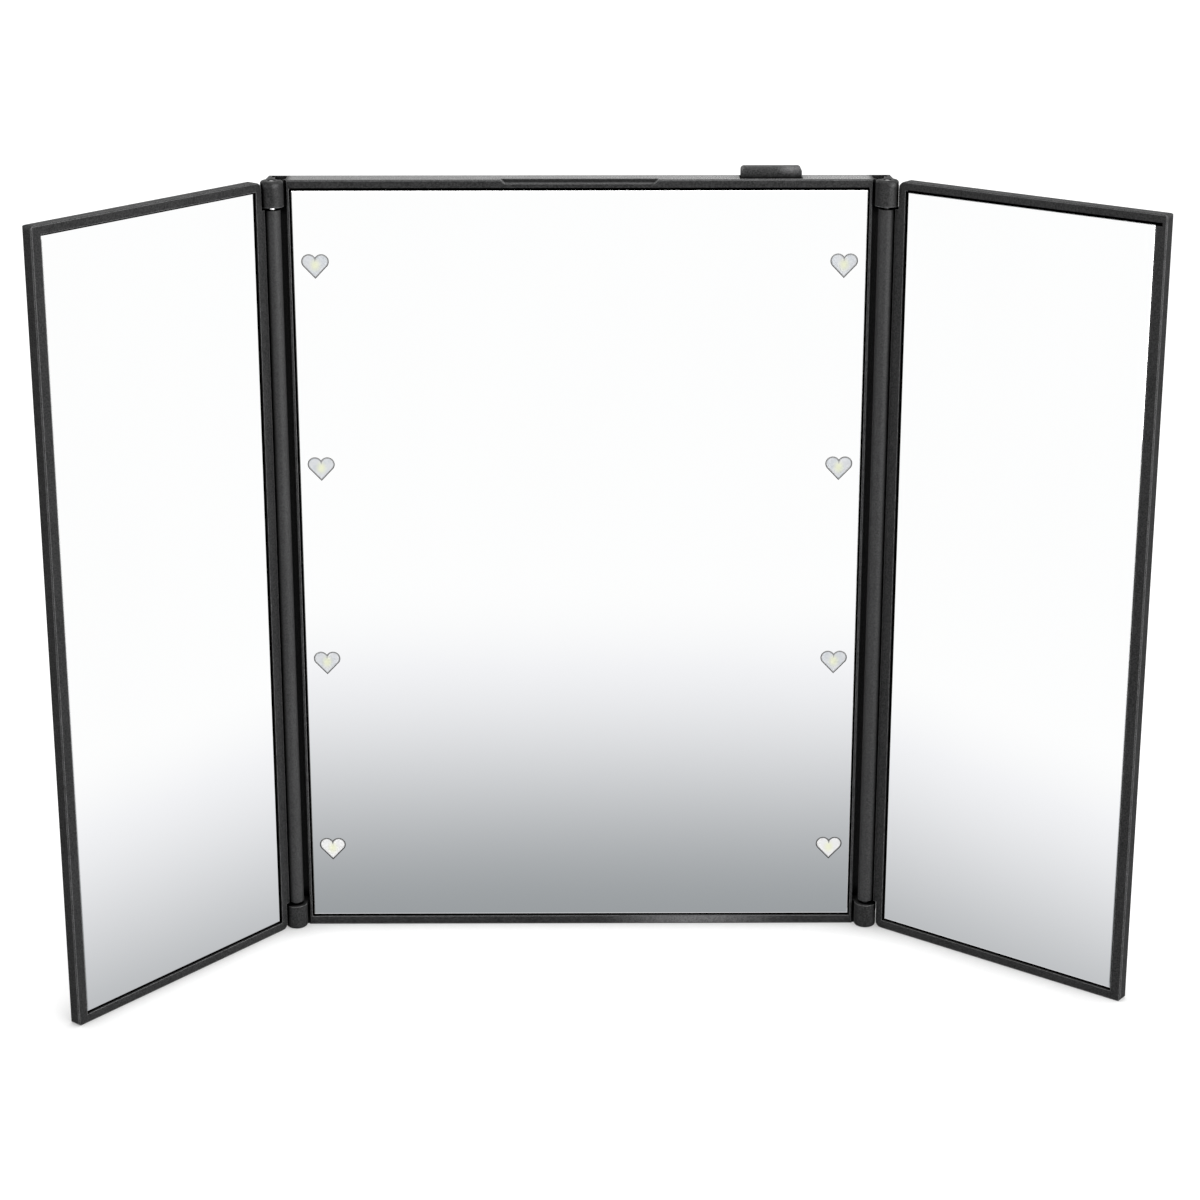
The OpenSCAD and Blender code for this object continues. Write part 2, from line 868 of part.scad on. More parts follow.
// Cell with its raised cap; odd cells stand cap down
module battery_cell(i) {
    can_h = cell_len - cap_h;
    color("peru")
        cell_pose(i)
            rotate_extrude() {
                cornered_rect([0, 0], [cell_r, can_h], [0, can_round, can_round, 0]);
                cornered_rect([0, can_h - over], [cap_r, cell_len], [0, 0, cap_round, 0]);
            }
}

// Place of a cell: its cap end meets a plate, its flat end a spring
module cell_pose(i) {
    cap_up = i % 2 == 0;
    cap_z = cap_up ? bay_z1 - plate_t - contact_gap : bay_z0 + plate_t + contact_gap;
    translate([cell_x(i), front_y + cell_d, cap_z])
        mirror([0, 0, cap_up ? 0 : 1])
            translate([0, 0, -cell_len])
                children();
}

// Rings of a cone-shaped coil that ends on a flat turn
function coil_point(t) =
    let (
        a = 360 * spring_turns * t,
        r = spring_base_r + (spring_tip_r - spring_base_r) * t,
        climb = spring_len - 2 * spring_wire_r - 2 * contact_gap
    )
    [r * cos(a), r * sin(a), -climb * (1 - t)];

function coil_ring(t) =
    let (
        centre = coil_point(t),
        a = 360 * spring_turns * t,
        outward = [cos(a), sin(a), 0]
    )
    [for (k = [0:spring_sides - 1])
        let (b = 360 * k / spring_sides)
        centre + spring_wire_r * (cos(b) * outward + sin(b) * [0, 0, 1])];

// Contact spring with its tip at the origin and its base below
module contact_spring() {
    steps = spring_turns * spring_rings;
    points = [for (s = [0:steps]) each coil_ring(s / steps)];
    sides = [
        for (s = [0:steps - 1], k = [0:spring_sides - 1])
            let (
                a = s * spring_sides + k,
                b = s * spring_sides + (k + 1) % spring_sides
            )
            each [[a, a + spring_sides, b], [b, a + spring_sides, b + spring_sides]]
    ];
    last = steps * spring_sides;
    start_cap = [for (k = [1:spring_sides - 2]) [0, k, k + 1]];
    end_cap = [for (k = [1:spring_sides - 2]) [last, last + k + 1, last + k]];
    polyhedron(points, concat(sides, start_cap, end_cap));
}

// One spring under the flat end of each cell
module battery_springs() {
    color(steel_colour)
        for (i = [0:cells - 1])
            cell_pose(i)
                translate([0, 0, -spring_wire_r - contact_gap / 2])
                    contact_spring();
}

// Contact plate across the cells from one to another
module contact_plate(first, last, top) {
    z = top ? bay_z1 - plate_t : bay_z0;
    block(
        [cell_x(first) - plate_w / 2, cell_x(last) + plate_w / 2],
        [cell_d - plate_w / 2, cell_d + plate_w / 2], [z, z + plate_t]
    );
}

// Plates that join the cells in a row
module link_plates() {
    color(steel_colour) {
        contact_plate(0, 1, false);
        contact_plate(2, 3, false);
        contact_plate(1, 2, true);
    }
}

// End plates, each with a tab that reaches the wires
module terminal_plates() {
    color(steel_colour)
        for (i = [0, cells - 1]) {
            contact_plate(i, i, true);
            block(
                [cell_x(i) - tab_w / 2, cell_x(i) + tab_w / 2],
                [tab_d, cell_d], [bay_z1 - plate_t, bay_z1]
            );
            block(
                [cell_x(i) - tab_w / 2, cell_x(i) + tab_w / 2],
                [tab_d, tab_d + plate_t], [bay_z1 - plate_t, housing_z1 + tab_rise]
            );
        }
}

// Insulated wire through a list of points, in x, depth and z
module wire(points, colour) {
    place = [for (p = points) [p.x, front_y + p.y, p.z]];
    color(colour) {
        for (i = [0:len(place) - 2])
            wire_stretch(place[i], place[i + 1]);
        for (p = place)
            translate(p)
                sphere(wire_r, $fn = 24);
    }
}

// Straight stretch of wire
module wire_stretch(from, to) {
    run = to - from;
    translate(from)
        rotate([0, acos(run.z / norm(run)), atan2(run.y, run.x)])
            cylinder(h = norm(run), r = wire_r, $fn = 24);
}

// From the positive tab to the switch
module supply_wire() {
    x = cell_x(0);
    wire([
        [x, wire_front_d, tab_wire_z], [x, wire_front_d, wire_top_z],
        [button_x - switch_board_w / 2 - wire_r - slack, wire_front_d, wire_top_z]
    ], red_wire);
}

// From the switch to the right board
module switched_wire() {
    x = button_x + switch_board_w / 2 + wire_r + slack;
    wire([
        [x, wire_back_d, wire_top_z], [x, wire_back_d, bridge_z],
        [board_edge, wire_back_d, bridge_z]
    ], red_wire);
}

// From the right board across to the left board
module bridge_wire() {
    z = bridge_z - 2 * wire_r - wire_space;
    wire([[board_edge, wire_back_d, z], [-board_edge, wire_back_d, z]], red_wire);
}

// From the negative tab to each board
module return_wire_right() {
    x = cell_x(cells - 1) + wire_r + wire_space / 2;
    wire([
        [x, wire_back_d, tab_wire_z], [x, wire_back_d, return_z], [board_edge, wire_back_d, return_z]
    ], black_wire);
}

module return_wire_left() {
    x = cell_x(cells - 1) - wire_r - wire_space / 2;
    wire([
        [x, wire_back_d, tab_wire_z], [x, wire_back_d, return_z], [-board_edge, wire_back_d, return_z]
    ], black_wire);
}

// Screws with a cross recess, sunk in the rear cover
module cover_screws() {
    color(steel_colour)
        for (spot = screw_spots)
            difference() {
                union() {
                    depth_bar(spot.x, spot.y, [head_d + seat_gap, head_d + head_h], head_r);
                    depth_bar(spot.x, spot.y, [head_d + head_h - screw_len, head_d + head_h / 2], shank_r);
                }
                for (arm = [[recess_arm, recess_w / 2], [recess_w / 2, recess_arm]])
                    block(
                        [spot.x - arm.x, spot.x + arm.x],
                        [head_d + head_h / 2, head_d + head_h + over],
                        [spot.y - arm.y, spot.y + arm.y]
                    );
            }
}

// Steel pin from a knuckle down into the barrel
module hinge_pin(side, top) {
    color(steel_colour)
        on_side(side)
            translate([0, 0, top ? 0 : panel_h])
                mirror([0, 0, top ? 0 : 1])
                    translate([hinge_x, hinge_y, panel_h - pin_sink - pin_len])
                        rotate_extrude()
                            cornered_rect(
                                [0, 0], [pin_r, pin_len], [0, 0, pin_end_round, 0], [0, pin_end_round, 0, 0]
                            );
}

// Puts a wing, drawn flat beside the right hinge, at its rest angle
module wing_pose(side, angle) {
    on_side(side)
        translate([hinge_x, hinge_y, 0])
            rotate([0, 0, -angle])
                translate([0, axis_lead - front_y, 0])
                    children();
}

// Wing tray with the long barrel, notched beside the knuckles
module wing_frame(side, angle) {
    color(shell_colour)
        wing_pose(side, angle)
            difference() {
                union() {
                    panel_solid(
                        [notch_u, wing_u], [0, wing_t], [0, panel_h],
                        [wing_corner, outer_corner, outer_corner, wing_corner],
                        bevel = edge_bevel, back = back_round
                    );
                    wing_web();
                    wing_barrel();
                }
                block(
                    [hinge_border, wing_u - outer_border], [-over, wing_t - wing_floor_t],
                    [border, panel_h - border]
                );
                both_ends()
                    barrel_bore();
                block(
                    [barrel_r, barrel_r + groove_w], [-over, groove_h],
                    [barrel_z - over, panel_h - barrel_z + over]
                );
            }
}

// Strip of the tray between its notches, reaching to the barrel
module wing_web() {
    translate([0, 0, barrel_z])
        linear_extrude(panel_h - 2 * barrel_z)
            cornered_rect(
                [web_u, front_y], [hinge_border, front_y + wing_t], [0, 0, 0, back_round]
            );
}

// Long barrel that turns on the two pins
module wing_barrel() {
    translate([0, front_y - axis_lead, barrel_z])
        rotate_extrude()
            cornered_rect(
                [0, 0], [barrel_r, panel_h - 2 * barrel_z], [0, barrel_edge, barrel_edge, 0]
            );
}

// Hole in the end of the barrel, a little deeper than the pin reaches
module barrel_bore() {
    reach = pin_sink + pin_len + bore_extra;
    translate([0, front_y - axis_lead, panel_h - reach])
        cylinder(h = reach, r = pin_r + pin_gap);
}

module wing_mirror(side, angle) {
    color(mirror_colour)
        wing_pose(side, angle)
            panel_solid(
                [wing_glass_lo, wing_glass_hi], [glass_recess, glass_recess + wing_glass_t],
                [border + glass_gap, panel_h - border - glass_gap], bevel = glass_bevel
            );
}

module wing_tape(side, angle) {
    back_d = wing_t - wing_floor_t;
    color(tape_colour)
        wing_pose(side, angle)
            block(
                [wing_glass_lo + tape_inset, wing_glass_hi - tape_inset], [back_d - tape_t, back_d],
                [tape_z0, panel_h - tape_z0]
            );
}

centre_frame();
rear_cover();
battery_door();
centre_mirror();
centre_tape();
heart_window(-1, 0);  // heart_window_left_1
heart_window(-1, 1);  // heart_window_left_2
heart_window(-1, 2);  // heart_window_left_3
heart_window(-1, 3);  // heart_window_left_4
heart_window(1, 0);  // heart_window_right_1
heart_window(1, 1);  // heart_window_right_2
heart_window(1, 2);  // heart_window_right_3
heart_window(1, 3);  // heart_window_right_4
led(-1, 0);  // led_left_1
led(-1, 1);  // led_left_2
led(-1, 2);  // led_left_3
led(-1, 3);  // led_left_4
led(1, 0);  // led_right_1
led(1, 1);  // led_right_2
led(1, 2);  // led_right_3
led(1, 3);  // led_right_4
led_board(-1);  // led_board_left
led_board(1);  // led_board_right
board_resistors();
switch_board();
switch_body();
switch_plunger();
power_button();
battery_cell(0);  // battery_cell_1
battery_cell(1);  // battery_cell_2
battery_cell(2);  // battery_cell_3
battery_cell(3);  // battery_cell_4
battery_springs();
link_plates();
terminal_plates();
supply_wire();
switched_wire();
bridge_wire();
return_wire_right();
return_wire_left();
cover_screws();
hinge_pin(-1, true);  // hinge_pin_left_top
hinge_pin(-1, false);  // hinge_pin_left_bottom
hinge_pin(1, true);  // hinge_pin_right_top
hinge_pin(1, false);  // hinge_pin_right_bottom
wing_frame(-1, left_angle);  // left_wing_frame
wing_mirror(-1, left_angle);  // left_wing_mirror
wing_tape(-1, left_angle);  // left_wing_tape
wing_frame(1, right_angle);  // right_wing_frame
wing_mirror(1, right_angle);  // right_wing_mirror
wing_tape(1, right_angle);  // right_wing_tape
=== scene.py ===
"""Studio picture of the folding mirror: camera, light, floor and the look of every piece."""

import json
import math

import bpy
from mathutils import Matrix, Vector


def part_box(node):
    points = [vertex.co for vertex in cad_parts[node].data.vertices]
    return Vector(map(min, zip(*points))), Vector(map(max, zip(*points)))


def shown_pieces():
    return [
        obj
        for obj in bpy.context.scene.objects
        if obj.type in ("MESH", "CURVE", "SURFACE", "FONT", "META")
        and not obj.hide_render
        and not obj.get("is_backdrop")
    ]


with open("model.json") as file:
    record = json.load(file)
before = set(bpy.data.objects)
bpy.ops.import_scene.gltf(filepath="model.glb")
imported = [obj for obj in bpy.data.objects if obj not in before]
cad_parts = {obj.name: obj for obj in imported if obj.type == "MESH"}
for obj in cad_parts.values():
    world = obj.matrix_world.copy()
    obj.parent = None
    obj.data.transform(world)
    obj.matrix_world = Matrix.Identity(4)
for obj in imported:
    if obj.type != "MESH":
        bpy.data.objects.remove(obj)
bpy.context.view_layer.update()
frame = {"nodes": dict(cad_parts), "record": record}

MM = 0.001

# Camera: place in metres, angles in degrees, lens and sensor in millimetres, as the photograph was taken
CAMERA_AT = (0.00038, -0.61785, 0.29029)
CAMERA_DOWN = 17.384
CAMERA_TURN = 0.229
CAMERA_ROLL = 0.033
CAMERA_LENS = 84.143
CAMERA_SENSOR = 36.0
CAMERA_SHIFT = (0.00619, -0.05456)
CAMERA_CLIP = (0.01, 20.0)

# Lamps: name, place, side in metres and power in watts. They all face one point of the mirror.
LAMPS_FACE = (0.0, -0.02, 0.09)
LAMPS = [
    ("softbox_top", (0.0, 0.0, 2.0), 1.6, 20.0),
    ("softbox_right", (0.9, -0.9, 0.35), 1.2, 18.0),
    ("softbox_left", (-0.9, -0.9, 0.35), 0.6, 2.4),
]

# World: the room as the mirrors and the glossy plastic see it, by a direction's share to the right,
# backwards and up. The white has turned into the pale tint once it is this grey.
ROOM_LIGHT = 0.3
ROOM_WHITE = (1.0, 1.0, 1.0, 1.0)
ROOM_PALE = (0.98, 0.98, 1.0, 1.0)
ROOM_GREY = (0.32, 0.338, 0.352, 1.0)
PALE_AT = 0.12

# Where the room's lower part turns grey, over what depth and how fast: straight ahead, then at the sides
GREY_STARTS = -0.31
GREY_DEPTH = 0.12
GREY_POWER = 1.2
SIDE_STARTS = -0.357
SIDE_DEPTH = 0.13
SIDE_POWER = 1.0
SIDE_FROM = (0.3, 0.7)

# At the sides the grey's edge leans with the distance from a slanting line, within limits
SIDE_LEAN = 0.3
SIDE_LINE = (-0.2344, 0.1886)
SIDE_LIMITS = (-0.375, -0.325)

# Further down the grey thins out again
LOW_STARTS = -0.5
LOW_DEPTH = 0.3
LOW_SHARE = 0.25

# Dim part of the room: how light it is, how its start slants and where it lies, and its lower and upper end
DIM_LEVEL = 0.12
DIM_SLANT = -0.21
DIM_FROM = (0.05, 0.2)
DIM_LOW_END = (-0.75, -0.55)
DIM_HIGH_END = (-0.1, 0.1)

# Floor paper: how light it looks, how much light it throws back, its glow near the mirror and far off, and
# the share of the glow that is left where something stands
FLOOR_SIZE = 12.0
PAPER_SEEN = 0.4
PAPER_FIBRE = 0.01
PAPER_BOUNCE = 0.5
GLOW_NEAR = 0.68
GLOW_BEHIND = 0.75
GLOW_FAR = 0.95
GLOW_UNDER = 0.55

# Places between which the floor's glow grows, behind, beside and around the mirror
GROWS_BEHIND = (-0.03, 0.08)
GROWS_BESIDE = (0.112, 0.135)
GROWS_AROUND = (0.1, 0.3)

# Moulded plastic, from its body to its worn edges, whose light colour also makes painted highlights
PLASTIC_DARK = (0.005, 0.005, 0.0051, 1.0)
PLASTIC_LIGHT = (0.036, 0.036, 0.0365, 1.0)
PLASTIC_WEAR_AND_SHEEN = (0.2, 0.2, 0.203, 1.0)
PLASTIC_GLOSS = 0.22
PLASTIC_RELIEF = 0.9
BARREL_TONE = 2.0
BARREL_RELIEF = 0.35
BUTTON_TONE = 1.5
GRAIN_SIZE = 0.34 * MM
SPECK_SIZE = 0.3 * MM
RUB_SIZE = 1.1 * MM
CLOUD_SIZE = 14 * MM
CLOUD_SHARE = 0.12

# Dust with painted sheen on the top face: the painted sheen gets lighter from the left end to the right end
# of its span
DUST_AND_SHEEN_LEFT = (0.2, 0.2, 0.203, 1.0)
DUST_AND_SHEEN_RIGHT = (0.42, 0.42, 0.423, 1.0)
DUST_AND_SHEEN_SPAN = (-60 * MM, 60 * MM)

# Painted highlights, each with its radius and strength. On the knuckles' shoulders they stand at a turn in
# degrees about the hinge, on the lower border at a place across and up, on the button at an inset from its
# right end.
SHOULDER_TURNS = [("left_wing_hinge", -38), ("left_wing_hinge", 22), ("right_wing_hinge", 30)]
SHOULDER_DROP = 0.9 * MM
SHOULDER_HIGHLIGHT = (1.3 * MM, 0.36)
BORDER_HIGHLIGHT_AT = (27.5 * MM, 1.5 * MM)
BORDER_HIGHLIGHT = (25 * MM, 0.7)
BUTTON_HIGHLIGHT_INSET = 2.2 * MM
BUTTON_HIGHLIGHT = (4 * MM, 0.7)

# Mirror glass: the silver's tint, the ground edge and the painted back
SILVER_DARK = (0.975, 0.98, 0.98, 1.0)
SILVER_LIGHT = (0.992, 0.995, 0.995, 1.0)
GROUND_DARK = (0.2, 0.23, 0.225, 1.0)
GROUND_LIGHT = (0.44, 0.48, 0.465, 1.0)
GLASS_BACK = (0.12, 0.125, 0.13, 1.0)

# Heart windows and the lights behind them
FROST_DARK = (0.62, 0.65, 0.68, 1.0)
FROST_LIGHT = (0.69, 0.7, 0.72, 1.0)
SPOT_YELLOW = (0.84, 0.86, 0.58, 1.0)
PHOSPHOR_DARK = (0.72, 0.62, 0.16, 1.0)
PHOSPHOR_LIGHT = (0.86, 0.79, 0.3, 1.0)
PACKAGE_DARK = (0.8, 0.79, 0.75, 1.0)
PACKAGE_LIGHT = (0.88, 0.87, 0.84, 1.0)

# Battery cells
WRAP_BLACK = (0.02, 0.02, 0.022, 1.0)
WRAP_COPPER = (0.42, 0.2, 0.075, 1.0)
WRAP_SCUFFED = (0.5, 0.42, 0.34, 1.0)
WRAP_BLACK_SHARE = 0.3
CELL_STEEL = (0.62, 0.61, 0.59, 1.0)

# How far off other pieces give the bare metal painted shade, which stands in for their reflections that leave
# them out
METAL_REACH = 10 * MM

# Sizes of the barrels, knuckles and heart windows, as in the part
BARREL_RADIUS = 1.85 * MM
KNUCKLE_RADIUS = 2.55 * MM
HEART_LOBE = 1.55 * MM
HEART_SPREAD = 1.4 * MM
HEART_ANGLE = math.radians(43.3)

# Gap round each glass in its frame, and height of the edge of a frame above its glass that is painted dark as
# shade
GLASS_GAP = 0.4 * MM
LINTEL_EDGE = 0.28 * MM

# Direction that the centre glass faces
CENTRE_FRONT = (0.0, -1.0, 0.0)

# Range that most of a noise pattern lies in, and the part of it that gives a strong contrast
NOISE_RANGE = (0.3, 0.7)
NOISE_CORE = (0.35, 0.65)


# Node helpers

def add(tree, kind, inputs=None, **settings):
    """A node with its settings, whose inputs are values or other nodes' sockets."""
    node = tree.nodes.new(kind)
    for name, value in settings.items():
        setattr(node, name, value)
    for key, value in (inputs or {}).items():
        if isinstance(value, bpy.types.NodeSocket):
            tree.links.new(value, node.inputs[key])
        else:
            node.inputs[key].default_value = value
    return node


def calc(tree, operation, a, b=0.0, c=0.0, clamp=False):
    """One arithmetic step."""
    node = add(tree, "ShaderNodeMath", {0: a, 1: b, 2: c}, operation=operation, use_clamp=clamp)
    return node.outputs[0]


def vector_calc(tree, operation, a, b=(0.0, 0.0, 0.0)):
    """One step on vectors, whose result is a vector or, for a length or a dot product, a number."""
    node = add(tree, "ShaderNodeVectorMath", {0: a, 1: b}, operation=operation)
    return node.outputs["Value" if operation in ("LENGTH", "DOT_PRODUCT") else "Vector"]


def split(tree, vector):
    """The three parts of a vector."""
    return add(tree, "ShaderNodeSeparateXYZ", {0: vector}).outputs


def distance(tree, across, up):
    """Length of an offset across and up."""
    return vector_calc(tree, "LENGTH", add(tree, "ShaderNodeCombineXYZ", {0: across, 2: up}).outputs[0])


def spread(tree, value, low, high, to_low=0.0, to_high=1.0, smooth=False):
    """The value carried from one range to another, held at its ends."""
    kind = "SMOOTHSTEP" if smooth else "LINEAR"
    node = add(
        tree, "ShaderNodeMapRange",
        {"Value": value, "From Min": low, "From Max": high, "To Min": to_low, "To Max": to_high},
        interpolation_type=kind, clamp=True,
    )
    return node.outputs["Result"]


def between(tree, value, rise, fall):
    """1 between two soft ends, each given by the two values over which it changes, and 0 outside them."""
    return calc(tree, "MULTIPLY", spread(tree, value, *rise), spread(tree, value, *fall, 1.0, 0.0))


def blend_colours(tree, factor, a, b):
    """Two colours mixed by a factor."""
    mixed = add(tree, "ShaderNodeMix", {0: factor, 6: a, 7: b}, data_type="RGBA", clamp_factor=True)
    return mixed.outputs[2]


def grey(level):
    """A colour without any hue."""
    return (level, level, level, 1.0)


def toned(colour, factor):
    """The colour made lighter or darker."""
    return (*(part * factor for part in colour[:3]), 1.0)


def noise(tree, place, size, detail=3.0, stretch=(1.0, 1.0, 1.0)):
    """Cloudy pattern whose patches are about the given size in metres."""
    scaled = vector_calc(tree, "MULTIPLY", place, tuple(part / size for part in stretch))
    pattern = {"Vector": scaled, "Scale": 1.0, "Detail": detail, "Roughness": 0.55}
    return add(tree, "ShaderNodeTexNoise", pattern).outputs["Fac"]


def vary(tree, pattern, low, high):
    """A noise pattern carried to a range of its own."""
    return spread(tree, pattern, *NOISE_RANGE, low, high)


def contrast(tree, pattern):
    """A noise pattern stretched from 0 to 1."""
    return spread(tree, pattern, *NOISE_CORE)


def bump(tree, height, depth, strength, normal=None):
    """Surface normal tilted by a height pattern, whose depth is in metres."""
    inputs = {"Height": height, "Distance": depth, "Strength": strength}
    if normal is not None:
        inputs["Normal"] = normal
    return add(tree, "ShaderNodeBump", inputs).outputs["Normal"]


def new_material(name):
    """Empty material, its tree and the place on the piece, in the piece's own coordinates."""
    material = bpy.data.materials.new(name)
    material.use_nodes = True
    tree = material.node_tree
    tree.nodes.clear()
    place = add(tree, "ShaderNodeTexCoord").outputs["Object"]
    return material, tree, place


def finish_material(tree, inputs):
    """Puts a Principled surface with the given inputs on the material."""
    surface = add(tree, "ShaderNodeBsdfPrincipled", inputs)
    add(tree, "ShaderNodeOutputMaterial", {"Surface": surface.outputs[0]})


def own_normal(tree):
    """Surface normal in the piece's own coordinates."""
    return add(tree, "ShaderNodeTexCoord").outputs["Normal"]


def worn_edges(tree, radius):
    """Rounded normal at sharp edges, and how far each place is turned by it."""
    rounded = add(tree, "ShaderNodeBevel", {"Radius": radius}, samples=6).outputs[0]
    flat = add(tree, "ShaderNodeNewGeometry").outputs["Normal"]
    turned = calc(tree, "SUBTRACT", 1.0, vector_calc(tree, "DOT_PRODUCT", rounded, flat))
    return rounded, spread(tree, turned, 0.002, 0.06)


def openness(tree, reach):
    """1 in the open, and less where other surfaces are within reach."""
    return add(tree, "ShaderNodeAmbientOcclusion", {"Distance": reach}, samples=8).outputs["AO"]


def shade_in_gaps(tree, reach, height=None, closed=0.48, clear=0.92):
    """Share left out of painted gap shade: 1 in the open and 0 deep in a narrow gap. With a height given, the
    floor closes nothing.
    """
    open_share = openness(tree, reach)
    if height is not None:
        open_share = calc(tree, "ADD", open_share, spread(tree, height, 0.0, reach, 0.38, 0.0))
    return spread(tree, open_share, closed, clear)


def shaded_metal(tree, colour):
    """Colour of bare metal, with painted shade where pieces within reach would show in it."""
    shade = shade_in_gaps(tree, METAL_REACH, closed=0.05, clear=0.95)
    return blend_colours(tree, shade, grey(0.02), colour)


# Moulded plastic

def off_lintel(tree, parts, normal, glass, front):
    """0 on the lowest edge of the frame's front just above a glass, where shade is painted, and 1 elsewhere.
    """
    low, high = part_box(glass)
    middle, half_width = (low[0] + high[0]) / 2, (high[0] - low[0]) / 2
    top = high[2] + GLASS_GAP + LINTEL_EDGE
    across = calc(tree, "ABSOLUTE", calc(tree, "SUBTRACT", parts[0], middle))
    facing = vector_calc(tree, "DOT_PRODUCT", normal, front)
    beside = spread(tree, across, half_width + 0.2 * MM, half_width + 0.3 * MM)
    above = spread(tree, parts[2], top - 0.05 * MM, top + 0.05 * MM)
    below = spread(tree, parts[2], high[2] - 0.1 * MM, high[2], 1.0, 0.0)
    turned_away = spread(tree, facing, 0.3, 0.5, 1.0, 0.0)
    off_strip = calc(tree, "MAXIMUM", beside, calc(tree, "MAXIMUM", above, below))
    return calc(tree, "MAXIMUM", off_strip, turned_away)


def under_dusty_sheen_top(tree, parts, dusty_sheen_top, low, high, most=1.0):
    """Rises from 0 to its most between two depths below the top with dust and painted sheen, over that top's
    width alone.
    """
    half_width, top = dusty_sheen_top
    across = calc(tree, "ABSOLUTE", parts[0])
    across = spread(tree, across, half_width, half_width + 1 * MM, 1.0, 0.0)
    return calc(tree, "MULTIPLY", across, spread(tree, parts[2], top - low, top - high, 0.0, most))


def plastic_outside_painted_shade(tree, parts, normal, dusty_sheen_top, shaded_foot, lintel):
    """1 where the plastic has no painted shade, and less where shade is painted in its gaps, at its foot and
    on its lintel.
    """
    outside_painted_shade = shade_in_gaps(tree, 3 * MM, parts[2])
    if shaded_foot is not None:
        # Painted shade, darker towards the foot
        outside_painted_shade = calc(tree, "MULTIPLY", outside_painted_shade, spread(tree, parts[2], *shaded_foot, 0.25, 1.0))
    if dusty_sheen_top is not None:
        lit = under_dusty_sheen_top(tree, parts, dusty_sheen_top, 1.2 * MM, 1 * MM, 0.7)
        outside_painted_shade = calc(tree, "MAXIMUM", outside_painted_shade, lit)
    if lintel is not None:
        outside_painted_shade = calc(tree, "MULTIPLY", outside_painted_shade, off_lintel(tree, parts, normal, *lintel))
    return outside_painted_shade


def plastic_body(tree, place, grain, tone, barrel):
    """Mottled black and the strength of its relief, with the barrel paler and smoother."""
    cloud = vary(tree, noise(tree, place, CLOUD_SIZE), -CLOUD_SHARE, CLOUD_SHARE)
    shade = calc(tree, "ADD", contrast(tree, grain), cloud, clamp=True)
    body = blend_colours(tree, shade, toned(PLASTIC_DARK, tone), toned(PLASTIC_LIGHT, tone))
    if barrel is None:
        return body, PLASTIC_RELIEF
    axis, radius = barrel
    from_axis = vector_calc(tree, "MULTIPLY", vector_calc(tree, "SUBTRACT", place, axis), (1, 1, 0))
    off_barrel = spread(tree, vector_calc(tree, "LENGTH", from_axis), radius, radius + 0.3 * MM)
    paler = blend_colours(
        tree, spread(tree, shade, 0.0, 1.0, 0.3, 0.7),
        toned(PLASTIC_DARK, BARREL_TONE), toned(PLASTIC_LIGHT, BARREL_TONE),
    )
    relief = spread(tree, off_barrel, 0.0, 1.0, BARREL_RELIEF, PLASTIC_RELIEF)
    return blend_colours(tree, off_barrel, paler, body), relief


def wear_and_highlight_share(tree, place, edge, grain, rub, highlight_spots):
    """How much of the light colour shows: along the edges as wear and painted highlight, in patches, and as a
    painted highlight in each spot.
    """
    wear_and_sheen = calc(tree, "MULTIPLY", edge, spread(tree, rub, 0.3, 0.62, 0.45, 1.0))
    # Each spot is a painted highlight.
    for spot, (radius, strength) in highlight_spots:
        from_spot = vector_calc(tree, "SUBTRACT", place, spot)
        away = vector_calc(tree, "LENGTH", vector_calc(tree, "MULTIPLY", from_spot, (1, 1, 2)))
        worn = spread(tree, away, 0.0, radius, strength, 0.0, smooth=True)
        worn = calc(tree, "MULTIPLY", worn, vary(tree, grain, 0.6, 1.4))
        wear_and_sheen = calc(tree, "MAXIMUM", wear_and_sheen, worn)
    return wear_and_sheen


